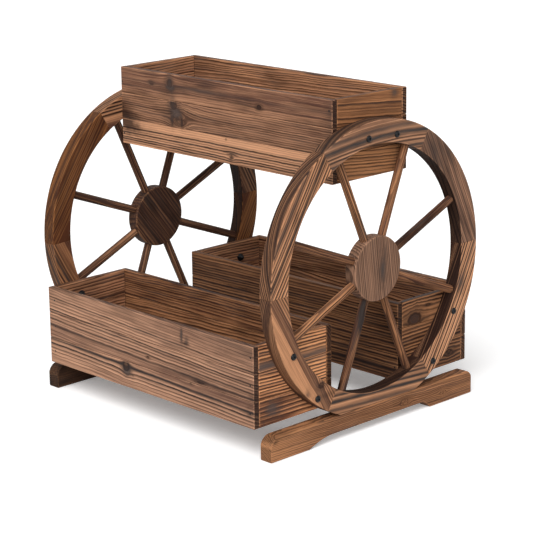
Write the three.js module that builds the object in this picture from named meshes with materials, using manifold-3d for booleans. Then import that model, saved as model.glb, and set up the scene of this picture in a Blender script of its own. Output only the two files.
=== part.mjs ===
// Flower cart stand: three planter boxes bolted between two spoked wheels, which stand
// flat on two bar feet. Millimetres, +Z up. The front faces -Y and the right wheel is at +X.
// The origin is on the ground, under the middle of the stand.

import * as THREE from 'three';
import { mergeVertices } from 'three/addons/utils/BufferGeometryUtils.js';
import Module from 'manifold-3d';

const wasm = await Module();
wasm.setup();

// ---------------------------------------------------------------- driving dimensions

// Planter boxes: plank walls, three planks high
const boxLength = 566; // along X, from wheel to wheel
const boxDepth = 193; // along Y, outside the long walls
const planksPerWall = 3;
const plankHeight = 50;
const wallThickness = 12.5; // long front and back walls
const endThickness = 12.5; // short ends, between the long walls
const plankEase = 1.2; // eased corner of a plank, so two planks meet in a small V
const floorThickness = 12.5;
const floorPlanks = 3;
const floorLift = 6; // floor's underside above the walls' lower edges
const drainGap = 4; // open slit between the floor and each long wall

// Wheels: felloes round the rim, dowel spokes and a thick hub disc
const wheelRadius = 270;
const rimWidth = 43;
const wheelThickness = 28;
const felloeCount = 6;
const rightWheelTurn = 1; // degrees that the joints sit round from level
const leftWheelTurn = 2;
const flatDepth = 19; // cut off the lowest felloe, so that it sits on the foot
const hubRadius = 60;
const hubThickness = 25;
const hubEase = 1.5;
const spokeCount = 8;
const spokeDiameter = 15.5;
const spokeSocketDepth = 14;

// Feet: one bar under each wheel, cut away underneath
const footLength = 533;
const footHeight = 45;
const footWidth = 28;
const frontPadLength = 95;
const backPadLength = 117;
const archHeight = 14;
const frontRampLength = 60; // from the pad up to the full height of the arch
const backRampLength = 26;
const footFrontRound = 20;
const footBackRound = 14;
const footSoleEase = 3;

// Bolts: button heads outside the rims, nuts inside the boxes
const boltDiameter = 6;
const boltHeadDiameter = 12.6;
const boltHeadHeight = 3.8;
const keyWidth = 4; // across the flats of the hexagon socket
const keyDepth = 2.2;
const washerDiameter = 16;
const washerThickness = 1.5;
const nutWidth = 10;
const nutHeight = 5;
const boltEndLength = 2.5; // thread that shows past the nut

// Each box hangs by its ends on the two rims. The box's centre stands at an angle round the
// wheel, counted from the back over the top, and this far outside the rim's middle line.
// Two bolts go through each end: "y" is from the box's centre, and the height is from the
// walls' upper edge, their lower edge or their middle.
const boxes = [
  { name: 'top_box', angle: 88.3, outside: -10.4,
    bolts: [{ y: -33.5, overMiddle: 2 }, { y: 39.5, overMiddle: 0 }] },
  { name: 'front_box', angle: 220.6, outside: 1.8,
    bolts: [{ y: -27, belowTop: 27 }, { y: 32, aboveBottom: 32 }] },
  { name: 'back_box', angle: 317.5, outside: -7.1,
    bolts: [{ y: 28, belowTop: 34 }, { y: -30, aboveBottom: 31.5 }] },
];

// Clearances
const seamGap = 0.3; // between neighbouring felloes
const socketClearance = 0.3; // round a spoke and past its end
const boltClearance = 0.3; // round a bolt's shank

// Roundness
const felloeSteps = 14;
const hubSteps = 56;
const spokeSides = 14;
const boltSides = 14;
const arcSteps = 5;

// ---------------------------------------------------------------- derived places

const innerRadius = wheelRadius - rimWidth;
const rimMiddle = wheelRadius - rimWidth / 2;
const seatHeight = wheelRadius - flatDepth; // wheel's centre above the foot
const axleHeight = footHeight + seatHeight;
const wallHeight = planksPerWall * plankHeight;
const innerDepth = boxDepth - 2 * wallThickness;
const innerLength = boxLength - 2 * endThickness;
const wheelMiddle = boxLength / 2 + wheelThickness / 2; // X of a wheel's middle plane
const footMiddle = boxLength / 2 + wheelThickness - footWidth / 2; // outer sides line up

const radians = THREE.MathUtils.degToRad;

// A box's centre, seen from the wheel's centre.
function boxPlace({ angle, outside }) {
  const radius = rimMiddle + outside;
  return { y: radius * Math.cos(radians(angle)), z: radius * Math.sin(radians(angle)) };
}

// A bolt's place in the end of its box, seen from the box's centre.
function boltInBox({ y, belowTop, aboveBottom, overMiddle }) {
  if (belowTop !== undefined) return { y, z: wallHeight / 2 - belowTop };
  if (aboveBottom !== undefined) return { y, z: aboveBottom - wallHeight / 2 };
  return { y, z: overMiddle };
}

// The bolts of a box, seen from the wheel's centre.
function boltPlaces(box) {
  const centre = boxPlace(box);
  return box.bolts.map(boltInBox).map(({ y, z }) => ({ y: centre.y + y, z: centre.z + z }));
}

// The wheels' centre lies behind the middle of the feet, so that the lower boxes reach
// equally far to the front and to the back.
const [, frontBox, backBox] = boxes;
const wheelSetback = -(boxPlace(frontBox).y + boxPlace(backBox).y) / 2;

// ---------------------------------------------------------------- materials

function wood(color, roughness) {
  return new THREE.MeshStandardMaterial({ color, roughness, metalness: 0 });
}
const plankWood = wood(0x7e563f, 0.75);
const wheelWood = wood(0x74503c, 0.72);
const dowelWood = wood(0x6b5446, 0.8);
const footWood = wood(0x7d5440, 0.72);
const blackSteel = new THREE.MeshStandardMaterial({ color: 0x1d1e20, roughness: 0.4, metalness: 0.8 });

// ---------------------------------------------------------------- solids

// A closed geometry as a solid that can be cut.
function toSolid(geometry) {
  const bare = geometry.clone();
  bare.deleteAttribute('normal');
  bare.deleteAttribute('uv');
  const merged = mergeVertices(bare, 1e-4);
  return new wasm.Manifold(new wasm.Mesh({
    numProp: 3,
    vertProperties: new Float32Array(merged.attributes.position.array),
    triVerts: new Uint32Array(merged.index.array),
  }));
}

// A cut solid as a flat-shaded geometry.
function toGeometry(solid) {
  const mesh = solid.getMesh();
  const geometry = new THREE.BufferGeometry();
  geometry.setAttribute('position', new THREE.BufferAttribute(mesh.vertProperties, 3));
  geometry.setIndex(new THREE.BufferAttribute(mesh.triVerts, 1));
  const facets = geometry.toNonIndexed();
  facets.computeVertexNormals();
  return facets;
}

function cutAll(geometry, cutters) {
  let solid = toSolid(geometry);
  for (const cutter of cutters) solid = solid.subtract(toSolid(cutter));
  return toGeometry(solid);
}

// A shape drawn in (Y, Z), carried along X and centred on X = 0.
function extrudeAlongX(shape, length) {
  const geometry = new THREE.ExtrudeGeometry(shape, {
    depth: length, bevelEnabled: false, curveSegments: arcSteps,
  });
  geometry.translate(0, 0, -length / 2);
  const turn = new THREE.Matrix4().makeBasis(
    new THREE.Vector3(0, 1, 0), new THREE.Vector3(0, 0, 1), new THREE.Vector3(1, 0, 0));
  return geometry.applyMatrix4(turn);
}

// A shape drawn in (X, Z), carried along Y and centred on Y = 0.
function extrudeAlongY(shape, length) {
  const geometry = new THREE.ExtrudeGeometry(shape, { depth: length, bevelEnabled: false });
  geometry.translate(0, 0, -length / 2);
  const turn = new THREE.Matrix4().makeBasis(
    new THREE.Vector3(1, 0, 0), new THREE.Vector3(0, 0, 1), new THREE.Vector3(0, -1, 0));
  return geometry.applyMatrix4(turn);
}

// A round bar along X, between two values of X.
function barAlongX(radius, startX, endX, y, z) {
  const bar = new THREE.CylinderGeometry(radius, radius, endX - startX, boltSides);
  bar.rotateZ(-Math.PI / 2);
  return bar.translate((startX + endX) / 2, y, z);
}

// A round bar in the wheel's middle plane that points away from the centre, at an angle
// counted from +Y towards +Z.
function barAlongRadius(radius, startRadius, endRadius, angle) {
  const bar = new THREE.CylinderGeometry(radius, radius, endRadius - startRadius, spokeSides);
  bar.translate(0, (startRadius + endRadius) / 2, 0);
  return bar.rotateX(angle);
}

function named(name, geometry, material) {
  const mesh = new THREE.Mesh(geometry, material);
  mesh.name = name;
  return mesh;
}

// ---------------------------------------------------------------- planter boxes

// The section of planks laid edge to edge: each has eased corners, so its neighbours meet
// in a V on both faces. "across" is the thickness, "along" runs over the planks.
function plankSection(thickness, plankWidth, count, place) {
  const half = thickness / 2;
  const up = [];
  for (let i = 0; i < count; i++) {
    const low = (i - count / 2) * plankWidth;
    const high = low + plankWidth;
    if (i === 0) up.push([half - plankEase, low]);
    up.push([half, low + plankEase], [half, high - plankEase], [half - plankEase, high]);
  }
  const down = up.map(([across, along]) => [-across, along]).reverse();
  return new THREE.Shape([...up, ...down].map(([across, along]) => place(across, along)));
}

const standing = (across, along) => new THREE.Vector2(across, along);
const lying = (across, along) => new THREE.Vector2(-along, across);

function buildBox(box) {
  const { name } = box;
  const centre = boxPlace(box);
  const group = new THREE.Group();
  group.position.set(0, wheelSetback + centre.y, axleHeight + centre.z);

  const wallSection = plankSection(wallThickness, plankHeight, planksPerWall, standing);
  for (const [word, side] of [['front', -1], ['back', 1]]) {
    const wall = named(`${name}_${word}_wall`, extrudeAlongX(wallSection, boxLength), plankWood);
    wall.position.y = side * (boxDepth - wallThickness) / 2;
    group.add(wall);
  }

  const endSection = plankSection(endThickness, plankHeight, planksPerWall, standing);
  const holes = box.bolts.map(boltInBox).map(({ y, z }) => barAlongX(
    boltDiameter / 2 + boltClearance, -endThickness, endThickness, y, z));
  const endGeometry = cutAll(extrudeAlongY(endSection, innerDepth), holes);
  for (const [word, side] of [['left', -1], ['right', 1]]) {
    const end = named(`${name}_${word}_end`, endGeometry, plankWood);
    end.position.x = side * (boxLength - endThickness) / 2;
    group.add(end);
  }

  const floorWidth = innerDepth - 2 * drainGap;
  const floorSection = plankSection(floorThickness, floorWidth / floorPlanks, floorPlanks, lying);
  const floor = named(`${name}_floor`, extrudeAlongX(floorSection, innerLength), plankWood);
  floor.position.z = -wallHeight / 2 + floorLift + floorThickness / 2;
  group.add(floor);
  return group;
}

// ---------------------------------------------------------------- wheels

// One felloe: a block of the rim between two joints.
function felloeShape(startAngle, endAngle) {
  const arc = (radius, from, to) => Array.from({ length: felloeSteps + 1 }, (_, i) => {
    const angle = from + (to - from) * i / felloeSteps;
    return new THREE.Vector2(radius * Math.cos(angle), radius * Math.sin(angle));
  });
  return new THREE.Shape([
    ...arc(wheelRadius, startAngle, endAngle), ...arc(innerRadius, endAngle, startAngle),
  ]);
}

function hubGeometry() {
  const half = hubThickness / 2;
  const profile = [
    [0, -half], [hubRadius - hubEase, -half], [hubRadius, -half + hubEase],
    [hubRadius, half - hubEase], [hubRadius - hubEase, half], [0, half],
  ].map(([radius, height]) => new THREE.Vector2(radius, height));
  return new THREE.LatheGeometry(profile, hubSteps).rotateZ(-Math.PI / 2);
}

function buildWheel(word, side, turn) {
  const wheel = new THREE.Group();
  wheel.position.set(side * wheelMiddle, wheelSetback, axleHeight);

  const spokeRadius = spokeDiameter / 2;
  const socketRadius = (spokeRadius + socketClearance) / Math.cos(Math.PI / spokeSides);
  const sockets = [];
  for (let i = 0; i < spokeCount; i++) {
    const angle = radians(turn) + 2 * Math.PI * (i + 0.5) / spokeCount;
    const spoke = barAlongRadius(spokeRadius, hubRadius - spokeSocketDepth + socketClearance,
      innerRadius + spokeSocketDepth - socketClearance, angle);
    wheel.add(named(`${word}_spoke_${i + 1}`, spoke, dowelWood));
    sockets.push(barAlongRadius(
      socketRadius, hubRadius - spokeSocketDepth, innerRadius + spokeSocketDepth, angle));
  }
  wheel.add(named(`${word}_hub`, cutAll(hubGeometry(), sockets), wheelWood));

  const holes = boxes.flatMap(boltPlaces).map(({ y, z }) => barAlongX(
    boltDiameter / 2 + boltClearance, -wheelThickness, wheelThickness, y, z));
  const seat = new THREE.BoxGeometry(2 * wheelThickness, 2 * wheelRadius, 2 * flatDepth);
  seat.translate(0, 0, -seatHeight - flatDepth);
  const halfGap = seamGap / 2 / innerRadius;
  for (let i = 0; i < felloeCount; i++) {
    const start = radians(turn) + 2 * Math.PI * i / felloeCount + halfGap;
    const end = radians(turn) + 2 * Math.PI * (i + 1) / felloeCount - halfGap;
    const block = extrudeAlongX(felloeShape(start, end), wheelThickness);
    const felloe = cutAll(block, [...sockets, ...holes, seat]);
    wheel.add(named(`${word}_felloe_${i + 1}`, felloe, wheelWood));
  }
  return wheel;
}

// ---------------------------------------------------------------- feet

function buildFoot(word, side) {
  const front = -footLength / 2;
  const back = footLength / 2;
  const archFront = front + frontPadLength;
  const archBack = back - backPadLength;
  const shape = new THREE.Shape();
  shape.moveTo(front, footSoleEase);
  shape.lineTo(front + footSoleEase, 0);
  shape.lineTo(archFront, 0);
  shape.quadraticCurveTo(archFront + 0.6 * frontRampLength, archHeight,
    archFront + frontRampLength, archHeight);
  shape.lineTo(archBack - backRampLength, archHeight);
  shape.quadraticCurveTo(archBack - 0.6 * backRampLength, archHeight, archBack, 0);
  shape.lineTo(back - footSoleEase, 0);
  shape.lineTo(back, footSoleEase);
  shape.lineTo(back, footHeight - footBackRound);
  shape.absarc(back - footBackRound, footHeight - footBackRound, footBackRound, 0, Math.PI / 2);
  shape.lineTo(front + footFrontRound, footHeight);
  shape.absarc(front + footFrontRound, footHeight - footFrontRound, footFrontRound,
    Math.PI / 2, Math.PI);
  const foot = named(`${word}_foot`, extrudeAlongX(shape, footWidth), footWood);
  foot.position.x = side * footMiddle;
  return foot;
}

// ---------------------------------------------------------------- bolts

// A button-head bolt with its washer and nut run up, along X. Its head bears on the rim's
// outer face at X = 0 and its shank runs to -X through the rim and the box's end.
function boltGeometry() {
  const shank = boltDiameter / 2;
  const head = boltHeadDiameter / 2;
  const grip = wheelThickness + endThickness;
  const dome = [];
  for (let i = 1; i < arcSteps; i++) {
    const rise = (Math.PI / 2) * i / arcSteps;
    dome.push([head * Math.sin(rise), boltHeadHeight * Math.cos(rise)]);
  }
  const tip = -(grip + washerThickness + nutHeight + boltEndLength);
  const profile = [
    [0, tip], [shank, tip], [shank, -(grip + washerThickness)],
    [washerDiameter / 2, -(grip + washerThickness)], [washerDiameter / 2, -grip],
    [shank, -grip], [shank, 0], [head, 0], ...dome.reverse(), [0, boltHeadHeight],
  ].map(([radius, height]) => new THREE.Vector2(radius, height));
  const turned = new THREE.LatheGeometry(profile, boltSides);

  const hexagon = (width) => width / 2 / Math.cos(Math.PI / 6);
  const nut = new THREE.CylinderGeometry(hexagon(nutWidth), hexagon(nutWidth), nutHeight, 6);
  nut.translate(0, -(grip + washerThickness + nutHeight / 2), 0);
  const key = new THREE.CylinderGeometry(hexagon(keyWidth), hexagon(keyWidth), 2 * keyDepth, 6);
  key.translate(0, boltHeadHeight, 0);
  const solid = toSolid(turned).add(toSolid(nut)).subtract(toSolid(key));
  return toGeometry(solid).rotateZ(-Math.PI / 2);
}

function buildBolts() {
  const bolts = new THREE.Group();
  bolts.position.set(0, wheelSetback, axleHeight);
  const geometry = boltGeometry();
  for (const box of boxes) {
    for (const [word, side] of [['left', -1], ['right', 1]]) {
      boltPlaces(box).forEach(({ y, z }, i) => {
        const bolt = named(`${box.name}_${word}_bolt_${i + 1}`, geometry, blackSteel);
        bolt.position.set(side * (boxLength / 2 + wheelThickness), y, z);
        bolt.rotation.y = side > 0 ? 0 : Math.PI;
        bolts.add(bolt);
      });
    }
  }
  return bolts;
}

// ---------------------------------------------------------------- the stand

const stand = new THREE.Group();
for (const box of boxes) stand.add(buildBox(box));
for (const [word, side, turn] of [['left', -1, leftWheelTurn], ['right', 1, rightWheelTurn]]) {
  stand.add(buildWheel(word, side, turn));
  stand.add(buildFoot(word, side));
}
stand.add(buildBolts());

export default stand;
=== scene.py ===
"""Flower cart stand: scorched planks, felloes, spokes, feet, bolts and nails on the frame."""

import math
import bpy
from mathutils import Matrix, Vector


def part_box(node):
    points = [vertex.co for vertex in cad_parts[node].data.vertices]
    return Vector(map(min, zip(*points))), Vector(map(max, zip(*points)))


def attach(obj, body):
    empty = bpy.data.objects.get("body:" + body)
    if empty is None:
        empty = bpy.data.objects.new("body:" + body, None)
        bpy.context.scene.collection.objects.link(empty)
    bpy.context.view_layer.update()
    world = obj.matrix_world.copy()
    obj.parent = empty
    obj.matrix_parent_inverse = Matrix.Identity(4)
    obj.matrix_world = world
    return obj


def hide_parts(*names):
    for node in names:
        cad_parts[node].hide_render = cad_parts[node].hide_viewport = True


bl_info = {
    "name": "Flower Cart Stand",
    "version": (1, 0, 0),
    "blender": (4, 5, 0),
    "location": "View3D > Sidebar > Flower Cart",
    "description": "Builds a flower cart stand of scorched wood around its frame",
    "category": "Add Mesh",
}

import bpy
import numpy as np
from bpy.props import FloatProperty, FloatVectorProperty, IntProperty, PointerProperty
from mathutils import Euler, Matrix, Vector

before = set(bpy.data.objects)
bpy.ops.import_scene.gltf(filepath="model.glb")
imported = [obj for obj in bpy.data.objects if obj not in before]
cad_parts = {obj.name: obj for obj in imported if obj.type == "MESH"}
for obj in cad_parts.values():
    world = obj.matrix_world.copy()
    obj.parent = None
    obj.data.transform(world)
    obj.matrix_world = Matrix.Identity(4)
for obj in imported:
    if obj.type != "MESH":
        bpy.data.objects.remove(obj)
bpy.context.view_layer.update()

MM = 0.001  # shapes are worked out in millimetres
SIDES = {"left": -1, "right": 1}
BOX_NAMES = ("top_box", "front_box", "back_box")
PANELS = ("front_wall", "back_wall", "left_end", "right_end", "floor")
X, Y, Z = np.eye(3)


# ---------------------------------------------------------------- places read from the frame


def node_box(name):
    """Lowest and highest corner of a frame node, in millimetres."""
    low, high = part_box(name)
    return np.array(low) / MM, np.array(high) / MM


def wheel_facts():
    """The right wheel's centre, its hub's radius and half thickness, the rim's half thickness,
    and the depth of the flat seat below the centre."""
    hub_low, hub_high = node_box("right_hub")
    rim_low, rim_high = node_box("right_felloe_5")
    centre, half = (hub_low + hub_high) / 2, (hub_high - hub_low) / 2
    return {
        "x": centre[0],
        "y": centre[1],
        "z": centre[2],
        "hub_radius": half[2],
        "hub_half": half[0],
        "half": (rim_high[0] - rim_low[0]) / 2,
        "seat": centre[2] - rim_low[2],
    }


WHEEL = wheel_facts()


# ---------------------------------------------------------------- sizes and colours to change


def number(name, description, default, **limits):
    """A setting: a length in millimetres, an angle in degrees or a strength."""
    return FloatProperty(name=name, description=description, default=default, **limits)


def colour(name, description, *default):
    """A setting for a colour."""
    return FloatVectorProperty(
        name=name, description=description, subtype="COLOR", default=default
    )


class PlankSettings(bpy.types.PropertyGroup):
    """Shape of the planks of the planter boxes."""

    count: IntProperty(name="Planks per panel", description="Planks side by side", default=3, min=1)
    edge_radius: number("Edge rounding", "Worn rounding of the long edges, mm", 1.5, min=0.3)
    end_radius: number("End rounding", "Rounding of the sawn ends, mm", 1.4, min=0.1)
    joint: number("Joint", "Open joint between two planks, mm", 0.25, min=0.0)
    end_gap: number("End gap", "Gap between an end panel and the walls, mm", 0.8, min=0.0)
    waviness: number("Waviness", "Wander of the brushed edges, mm", 0.35, min=0.0)


class WheelSettings(bpy.types.PropertyGroup):
    """Shape of the two wheels."""

    radius: number("Radius", "Rim's outer radius, mm", 270.0)
    rim: number("Rim width", "Radial width of the rim, mm", 43.0)
    felloes: IntProperty(name="Felloes", description="Blocks in a rim", default=6)
    spokes: IntProperty(name="Spokes", description="Dowels in a wheel", default=8)
    right_turn: number("Right turn", "Turn of the right wheel's joints, degrees", 1.0)
    left_turn: number("Left turn", "Turn of the left wheel's joints, degrees", 2.0)
    seam: number("Seam", "Gap at a felloe's joint, mm", 0.3)
    edge_radius: number("Edge rounding", "Rounding of the rim, mm", 1.6)
    spoke: number("Spoke", "Diameter of a dowel, mm", 15.5)
    socket: number("Socket", "Depth of a dowel's seat, mm", 13.7)


class FootSettings(bpy.types.PropertyGroup):
    """Shape of the two bar feet."""

    edge_radius: number("Edge rounding", "Rounding of the bar, mm", 2.6)
    front_pad: number("Front pad", "Length of the front pad, mm", 95.0)
    back_pad: number("Back pad", "Length of the back pad, mm", 117.0)
    front_ramp: number("Front ramp", "Length of the front ramp, mm", 60.0)
    back_ramp: number("Back ramp", "Length of the back ramp, mm", 26.0)
    arch: number("Arch", "Height of the cut underneath, mm", 14.0)
    front_round: number("Front round", "Radius of the front top, mm", 20.0)
    back_round: number("Back round", "Radius of the back top, mm", 14.0)


class FastenerSettings(bpy.types.PropertyGroup):
    """Bolts with their washers and nuts, and nails."""

    bolt: number("Bolt", "Diameter of the shank, mm", 6.0)
    head: number("Head", "Diameter of the button head, mm", 12.6)
    head_height: number("Head height", "Height of the head, mm", 3.6)
    key: number("Key", "Across the flats of the socket, mm", 4.0)
    key_depth: number("Key depth", "Depth of the socket, mm", 2.1)
    washer: number("Washer", "Diameter of the washer, mm", 16.0)
    washer_height: number("Washer height", "Thickness of the washer, mm", 1.5)
    nut: number("Nut", "Across the flats of the nut, mm", 10.0)
    nut_height: number("Nut height", "Height of the nut, mm", 5.0)
    thread: number("Thread", "Thread that shows past the nut, mm", 2.5)
    nail: number("Nail", "Diameter of a nail's head, mm", 4.0)
    nail_inset: number("Nail inset", "Nail to plank end, mm", 7.0)


class FinishSettings(bpy.types.PropertyGroup):
    """Colours of the scorched wood and of the bolts."""

    ridge: colour("Light wood", "Brushed early wood", 0.62, 0.300, 0.151)
    body: colour("Brown wood", "Scorched early wood", 0.108, 0.044, 0.0265)
    line: colour("Dark rings", "Late wood", 0.014, 0.0052, 0.0032)
    soot: colour("Soot", "Blue-grey charred wood", 0.044, 0.035, 0.032)
    steel: colour("Black steel", "Bolts", 0.0025, 0.0025, 0.003)


class StageSettings(bpy.types.PropertyGroup):
    """Light and camera."""

    key: number("Key light", "Strength of the main lamp", 2.5)
    fill: number("Fill light", "Strength of the side lamp", 1.1)
    back: number("Back light", "Strength of the lamp behind", 0.4)
    sky: number("Sky", "Strength of the surrounding light", 0.28)
    lens: number("Lens", "Focal length, mm", 130.54)


# ---------------------------------------------------------------- surfaces

SUPPORT = 0.4  # a row of points this far inside a rounding keeps the flat beside it flat
LEAST_ROUNDING = 0.12


def ring_section(lows, highs, inset, radius):
    """A rounded rectangle for each station, counter-clockwise, with a row of points just
    inside each rounding so that the flats stay flat. Returns the points (stations, points,
    2), how far each point lies on a rounding, and how far it faces sideways: 1 towards the
    high side, -1 towards the low side."""
    turn = np.linspace(0, np.pi / 2, 5)
    low = lows + inset[:, None]
    high = highs - inset[:, None]
    round_off = np.clip(radius - inset, LEAST_ROUNDING, None)[:, None]
    points, worn, facing = [], [], []
    for i, (sa, sd) in enumerate(((1, 1), (-1, 1), (-1, -1), (1, -1))):
        corner_a = np.where(sa > 0, high[:, :1], low[:, :1]) - sa * round_off
        corner_d = np.where(sd > 0, high[:, 1:], low[:, 1:]) - sd * round_off
        angle = turn + i * np.pi / 2
        cosine, sine = np.cos(angle), np.sin(angle)
        arc = np.stack([corner_a + round_off * cosine, corner_d + round_off * sine], -1)
        before = np.array([sine[0], -cosine[0]]) * SUPPORT
        after = np.array([-sine[-1], cosine[-1]]) * SUPPORT
        points += [arc[:, :1] + before, arc, arc[:, -1:] + after]
        worn += [[0], np.ones(len(angle)), [0]]
        cosine = cosine[[0, *range(len(angle)), -1]]
        facing.append(cosine * np.abs(cosine))
    return np.concatenate(points, 1), np.concatenate(worn), np.concatenate(facing)


def stations(length, step, rounding, extra=()):
    """Places along a bar and how far the section is drawn in there: a quarter circle at each
    end, a row that keeps the end flat, and even steps between."""
    turn = np.linspace(0, np.pi / 2, 4)
    near = rounding * (1 - np.cos(turn))
    drawn = rounding * (1 - np.sin(turn))
    flat = rounding + SUPPORT
    count = max(2, int(round((length - 2 * flat) / step)) + 1)
    middle = np.linspace(flat, length - flat, count)
    inner = [x for x in extra if flat < x < length - flat]
    middle = np.unique(np.concatenate([middle, inner]))
    place = np.concatenate([[0], near, middle, (length - near)[::-1], [length]])
    inset = np.concatenate([[flat], drawn, np.zeros(len(middle)), drawn[::-1], [flat]])
    return place, inset


def capped_tube(rings):
    """A grid of rings (rows, columns, 3) closed by a pole at each end. The columns turn
    counter-clockwise round the direction of the rows, so the faces point outwards."""
    rows, columns, _ = rings.shape
    i, j = np.meshgrid(np.arange(rows - 1), np.arange(columns), indexing="ij")
    k = (j + 1) % columns
    low, high = i * columns, (i + 1) * columns
    quads = np.stack([low + j, low + k, high + k, high + j], -1).reshape(-1, 4)
    j, k = j[0], k[0]
    first, last = np.full(columns, rows * columns), np.full(columns, rows * columns + 1)
    top = (rows - 1) * columns
    start, end = np.stack([first, k, j], -1), np.stack([last, top + j, top + k], -1)
    points = np.concatenate([rings.reshape(-1, 3), rings[:1].mean(1), rings[-1:].mean(1)])
    return points, quads.tolist() + start.tolist() + end.tolist()


def turned(profile, angle, origin, axis, first, second):
    """A closed piece round an axis. The profile lists distances along the axis, each with the
    radius there: one number, or one for each angle, counted from "first" to "second"."""
    cosine, sine = np.cos(angle)[:, None], np.sin(angle)[:, None]
    rings = []
    for x, radius in profile:
        radius = np.broadcast_to(radius, angle.shape)[:, None]
        rings.append(origin + axis * x + first * radius * cosine + second * radius * sine)
    return capped_tube(np.stack(rings))


def swept_bar(centre, across, depth, lows, highs, inset, radius, side_shade=(0.0, 0.0)):
    """A rounded rectangle carried along a path. At each station the section spans lows to
    highs along the two directions "across" and "depth". The low and the high side across
    get painted shade in the two given amounts."""
    across, depth = (np.broadcast_to(way, centre.shape) for way in (across, depth))
    section, worn, facing = ring_section(lows, highs, inset, radius)
    rings = centre[:, None] + across[:, None] * section[..., :1]
    rings = rings + depth[:, None] * section[..., 1:]
    flat_end = np.zeros(len(inset))
    flat_end[[0, -1]] = 1
    on_end = (inset > 1e-6) & (flat_end < 0.5)
    wear = np.maximum(worn[None, :], on_end[:, None]) * (1 - flat_end[:, None])
    middle = len(centre) // 2
    path = centre[middle] - centre[middle - 1]
    if np.dot(np.cross(across[middle], depth[middle]), path) < 0:
        rings, wear, facing = rings[:, ::-1], wear[:, ::-1], facing[::-1]
    sawn = np.zeros_like(wear)
    sawn[:2] = sawn[-2:] = 1
    side_shade_mark = np.where(facing > 0, facing * side_shade[1], -facing * side_shade[0])
    points, faces = capped_tube(rings)
    return points, faces, edge_marks(wear, sawn, np.broadcast_to(side_shade_mark, wear.shape))


def edge_marks(wear, sawn, side_shade_mark, pole=1):
    """Marks of a capped tube's points: on a rounding, on a sawn end, and the painted shade of its
    narrow sides.
    The two poles are sawn ends too, or not."""
    marks = np.stack([wear.ravel(), sawn.ravel(), side_shade_mark.ravel()], -1)
    return np.concatenate([marks, [[0, pole, 0], [0, pole, 0]]])


def wander(place, amount, seed):
    """A smooth wander along a bar: five waves of falling length with seeded phases."""
    longest = 260.0
    draw = np.random.default_rng(seed)
    total = np.zeros_like(place)
    for i in range(5):
        wave = longest / 1.9**i
        total += np.sin(place * 2 * np.pi / wave + draw.uniform(0, 6.28)) / (i + 1.5)
    return total * amount / 1.6


def grain_of(
    points,
    origin,
    along,
    across,
    depth,
    heart=(0, 0),
    lean=(0, 0),
    shift=0.0,
    slope=(0, 0),
    bend=0.0,
):
    """Each point's place in the log: along the fibres, and sideways from the heart of the
    log, which may lean along the piece. The rings may also slope, the more the further they
    lie across, and bend as a parabola. In millimetres."""
    local = points - origin
    x, side, deep = local @ along, local @ across, local @ depth
    rise = (slope[0] + slope[1] * side) * x + bend * x * x
    return np.stack(
        [x + shift, side - heart[0] - lean[0] * x + rise, deep - heart[1] - lean[1] * x], -1
    )


def make_piece(name, points, faces, material, slot, nodes=()):
    """A closed smooth mesh that rides on the stand's body, in place of some frame nodes."""
    mesh = bpy.data.meshes.new(name)
    mesh.from_pydata((points * MM).tolist(), [], faces)
    mesh.polygons.foreach_set("use_smooth", np.ones(len(mesh.polygons), bool))
    mesh.materials.append(material)
    mesh.update()
    piece = bpy.data.objects.new(name, mesh)
    bpy.context.scene.collection.objects.link(piece)
    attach(piece, "root")
    if nodes:
        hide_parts(*nodes)
    return mesh


def make_wood(name, shape, material, slot, nodes, axes, cut, look):
    """A piece of wood. Its points keep their place in the log ("grain": from the axes and the
    cut, as in grain_of), its look (rings per millimetre, charring, warmth, contrast) and
    their edge marks."""
    points, faces, edge = shape
    mesh = make_piece(name, points, faces, material, slot, nodes)
    for layer, kind, field, values in (
        ("grain", "FLOAT_VECTOR", "vector", grain_of(points, *axes, **cut)),
        ("look", "FLOAT_COLOR", "color", np.broadcast_to(look, (len(points), 4))),
        ("edge", "FLOAT_VECTOR", "vector", edge),
    ):
        data = mesh.attributes.new(layer, kind, "POINT").data
        data.foreach_set(field, np.asarray(values, np.float32).ravel())


# ---------------------------------------------------------------- shader graphs


def formula(operation, swapped=False):
    """An operator of Signal that adds a maths node."""

    def work(self, other):
        values = (other, self) if swapped else (self, other)
        return self.graph.math(operation, *values)

    return work


class Signal:
    """A socket that can be written in formulas."""

    def __init__(self, graph, socket):
        self.graph, self.socket = graph, socket

    __add__, __radd__ = formula("ADD"), formula("ADD", True)
    __sub__, __rsub__ = formula("SUBTRACT"), formula("SUBTRACT", True)
    __mul__, __rmul__ = formula("MULTIPLY"), formula("MULTIPLY", True)
    __truediv__ = formula("DIVIDE")


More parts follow.
